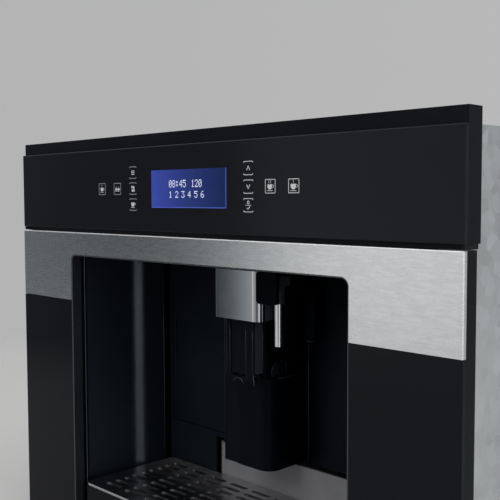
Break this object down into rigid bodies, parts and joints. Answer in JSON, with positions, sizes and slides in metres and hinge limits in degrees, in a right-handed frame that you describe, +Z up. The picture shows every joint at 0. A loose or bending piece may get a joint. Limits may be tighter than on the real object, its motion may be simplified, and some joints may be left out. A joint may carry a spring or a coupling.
{
  "type": "built-in coffee machine",
  "caption": "Compact built-in bean-to-cup coffee machine with touch panel, hinged service door round a cup niche, sliding spout, drip tray, lift-out tank and telescopic rails.",
  "frame": {"origin": "bottom centre of the whole machine's box, on the cabinet floor", "axes": "+X to the right seen from the front, +Y to the back, +Z up; the front plane faces -Y"},
  "size_m": [0.595, 0.412, 0.455],
  "materials": {
    "control_glass": "black back-printed glass",
    "carrier_plastic": "fine satin",
    "fascia_steel": "brushed along the width",
    "door_glass": "black back-printed glass",
    "black_plastic": "satin moulding",
    "niche_plastic": "polished black moulding",
    "chrome": "mirror",
    "tube_steel": "polished",
    "galvanised": "zinc-coated sheet",
    "rail_steel": "zinc-plated",
    "grid_steel": "satin",
    "clear_plastic": "clear moulding",
    "smoke_plastic": "smoked moulding",
    "white_plastic": "moulded",
    "grey_plastic": "moulded",
    "red_plastic": "moulded",
    "cast_aluminium": "as cast",
    "motor_metal": "lacquered",
    "burr_steel": "ground",
    "rubber": "matte",
    "silicone": "translucent hose",
    "board_green": "lacquered board",
    "display": "backlit panel",
    "magnet": "sintered",
    "screw_steel": "zinc-plated"
  },
  "bodies": {
    "cabinet_rails": {"rail_outer": "rail_steel"},
    "middle_rails": {"rail_middle": "rail_steel"},
    "machine": {"rail_inner": "rail_steel", "base_tray": "galvanised", "side_panels": "galvanised", "rear_panel": "galvanised", "rear_screws": "screw_steel", "top_cover": "galvanised", "front_frame": "galvanised", "bulkhead": "galvanised", "hinge_brackets": "rail_steel", "door_magnet": "magnet", "control_glass": "control_glass", "panel_carrier": "carrier_plastic", "touch_board": "board_green", "display_module": "display", "cup_niche_liner": "niche_plastic", "niche_floor": "niche_plastic", "niche_back_panel": "niche_plastic", "spout_column": "niche_plastic", "nozzle_socket": "black_plastic", "brew_frame": "grey_plastic", "brew_chamber": "white_plastic", "infuser_motor": "motor_metal", "powder_chute": "white_plastic", "grinder_housing": "grey_plastic", "upper_burr": "burr_steel", "grinder_motor": "motor_metal", "bean_hopper": "smoke_plastic", "tank_shelf": "grey_plastic", "boiler": "cast_aluminium", "pump": "motor_metal", "pump_mounts": "rubber", "flow_meter": "white_plastic", "water_hoses": "silicone", "power_board": "board_green", "power_inlet": "black_plastic"},
    "service_door": {"door_frame": "black_plastic", "steel_fascia": "fascia_steel", "door_glass": "door_glass", "opening_ring": "black_plastic", "door_strike": "rail_steel"},
    "spout": {"spout_cover": "chrome", "spout_body": "black_plastic"},
    "hot_water_nozzle": {"nozzle_connector": "black_plastic", "nozzle_tube": "tube_steel"},
    "drip_tray": {"drip_tray": "black_plastic", "grounds_container": "grey_plastic"},
    "cup_grid": {"cup_grid": "grid_steel"},
    "drip_float": {"drip_float": "red_plastic"},
    "infuser_hatch": {"infuser_hatch": "niche_plastic"},
    "water_tank": {"water_tank": "clear_plastic"},
    "tank_lid": {"tank_lid": "black_plastic"},
    "hopper_lid": {"hopper_lid": "smoke_plastic"},
    "powder_flap": {"powder_flap": "black_plastic"},
    "grind_knob": {"grind_knob": "black_plastic"},
    "lower_burr": {"lower_burr": "burr_steel"},
    "infuser_spindle": {"infuser_spindle": "tube_steel"},
    "brew_piston": {"brew_piston": "white_plastic"},
    "main_switch": {"main_switch": "black_plastic"}
  },
  "joints": [
    {"name": "machine_slide", "type": "slide", "parent": "cabinet_rails", "child": "machine", "axis": [0, -1, 0], "range_m": [0, 0.33]},
    {"name": "middle_rail_slide", "type": "slide", "parent": "cabinet_rails", "child": "middle_rails", "axis": [0, -1, 0], "range_m": [0, 0.165]},
    {"name": "door_hinge", "type": "hinge", "parent": "machine", "child": "service_door", "pos_m": [-0.291, -0.1945, 0.18], "axis": [0, 0, -1], "range_deg": [0, 95]},
    {"name": "spout_slide", "type": "slide", "parent": "machine", "child": "spout", "axis": [0, 0, -1], "range_m": [0, 0.05]},
    {"name": "nozzle_pull", "type": "slide", "parent": "machine", "child": "hot_water_nozzle", "axis": [0, -1, 0], "range_m": [0, 0.03]},
    {"name": "drip_tray_slide", "type": "slide", "parent": "machine", "child": "drip_tray", "axis": [0, -1, 0], "range_m": [0, 0.25]},
    {"name": "cup_grid_lift", "type": "slide", "parent": "drip_tray", "child": "cup_grid", "axis": [0, 0, 1], "range_m": [0, 0.035]},
    {"name": "float_rise", "type": "slide", "parent": "drip_tray", "child": "drip_float", "axis": [0, 0, 1], "range_m": [0, 0.008]},
    {"name": "hatch_hinge", "type": "hinge", "parent": "machine", "child": "infuser_hatch", "pos_m": [-0.041, -0.066, 0.22], "axis": [0, 0, 1], "range_deg": [0, 80]},
    {"name": "tank_lift", "type": "slide", "parent": "machine", "child": "water_tank", "axis": [0, 0, 1], "range_m": [0, 0.32]},
    {"name": "tank_lid_hinge", "type": "hinge", "parent": "water_tank", "child": "tank_lid", "pos_m": [0.2325, 0.122, 0.4453], "axis": [-1, 0, 0], "range_deg": [0, 100]},
    {"name": "hopper_lid_hinge", "type": "hinge", "parent": "machine", "child": "hopper_lid", "pos_m": [0.025, 0.096, 0.4453], "axis": [-1, 0, 0], "range_deg": [0, 100]},
    {"name": "powder_flap_hinge", "type": "hinge", "parent": "machine", "child": "powder_flap", "pos_m": [-0.112, 0.052, 0.4453], "axis": [-1, 0, 0], "range_deg": [0, 100]},
    {"name": "grind_knob_turn", "type": "hinge", "parent": "machine", "child": "grind_knob", "pos_m": [0.136, 0.019, 0.44], "axis": [0, 0, 1], "range_deg": [-135, 135]},
    {"name": "lower_burr_spin", "type": "hinge", "parent": "machine", "child": "lower_burr", "pos_m": [0.025, 0.006, 0.32], "axis": [0, 0, 1], "continuous": true},
    {"name": "spindle_turn", "type": "hinge", "parent": "machine", "child": "infuser_spindle", "pos_m": [-0.112, -0.001, 0.15], "axis": [0, 0, 1], "range_deg": [0, 2700]},
    {"name": "piston_slide", "type": "slide", "parent": "machine", "child": "brew_piston", "axis": [0, 0, 1], "range_m": [0, 0.045]},
    {"name": "switch_rock", "type": "hinge", "parent": "machine", "child": "main_switch", "pos_m": [-0.16, 0.199, 0.062], "axis": [-1, 0, 0], "range_deg": [0, 14]}
  ],
  "couplings": [
    {"joint": "middle_rail_slide", "follows": "machine_slide", "ratio": 0.5},
    {"joint": "spindle_turn", "follows": "piston_slide", "rad_per_m": 1047.2}
  ]
}
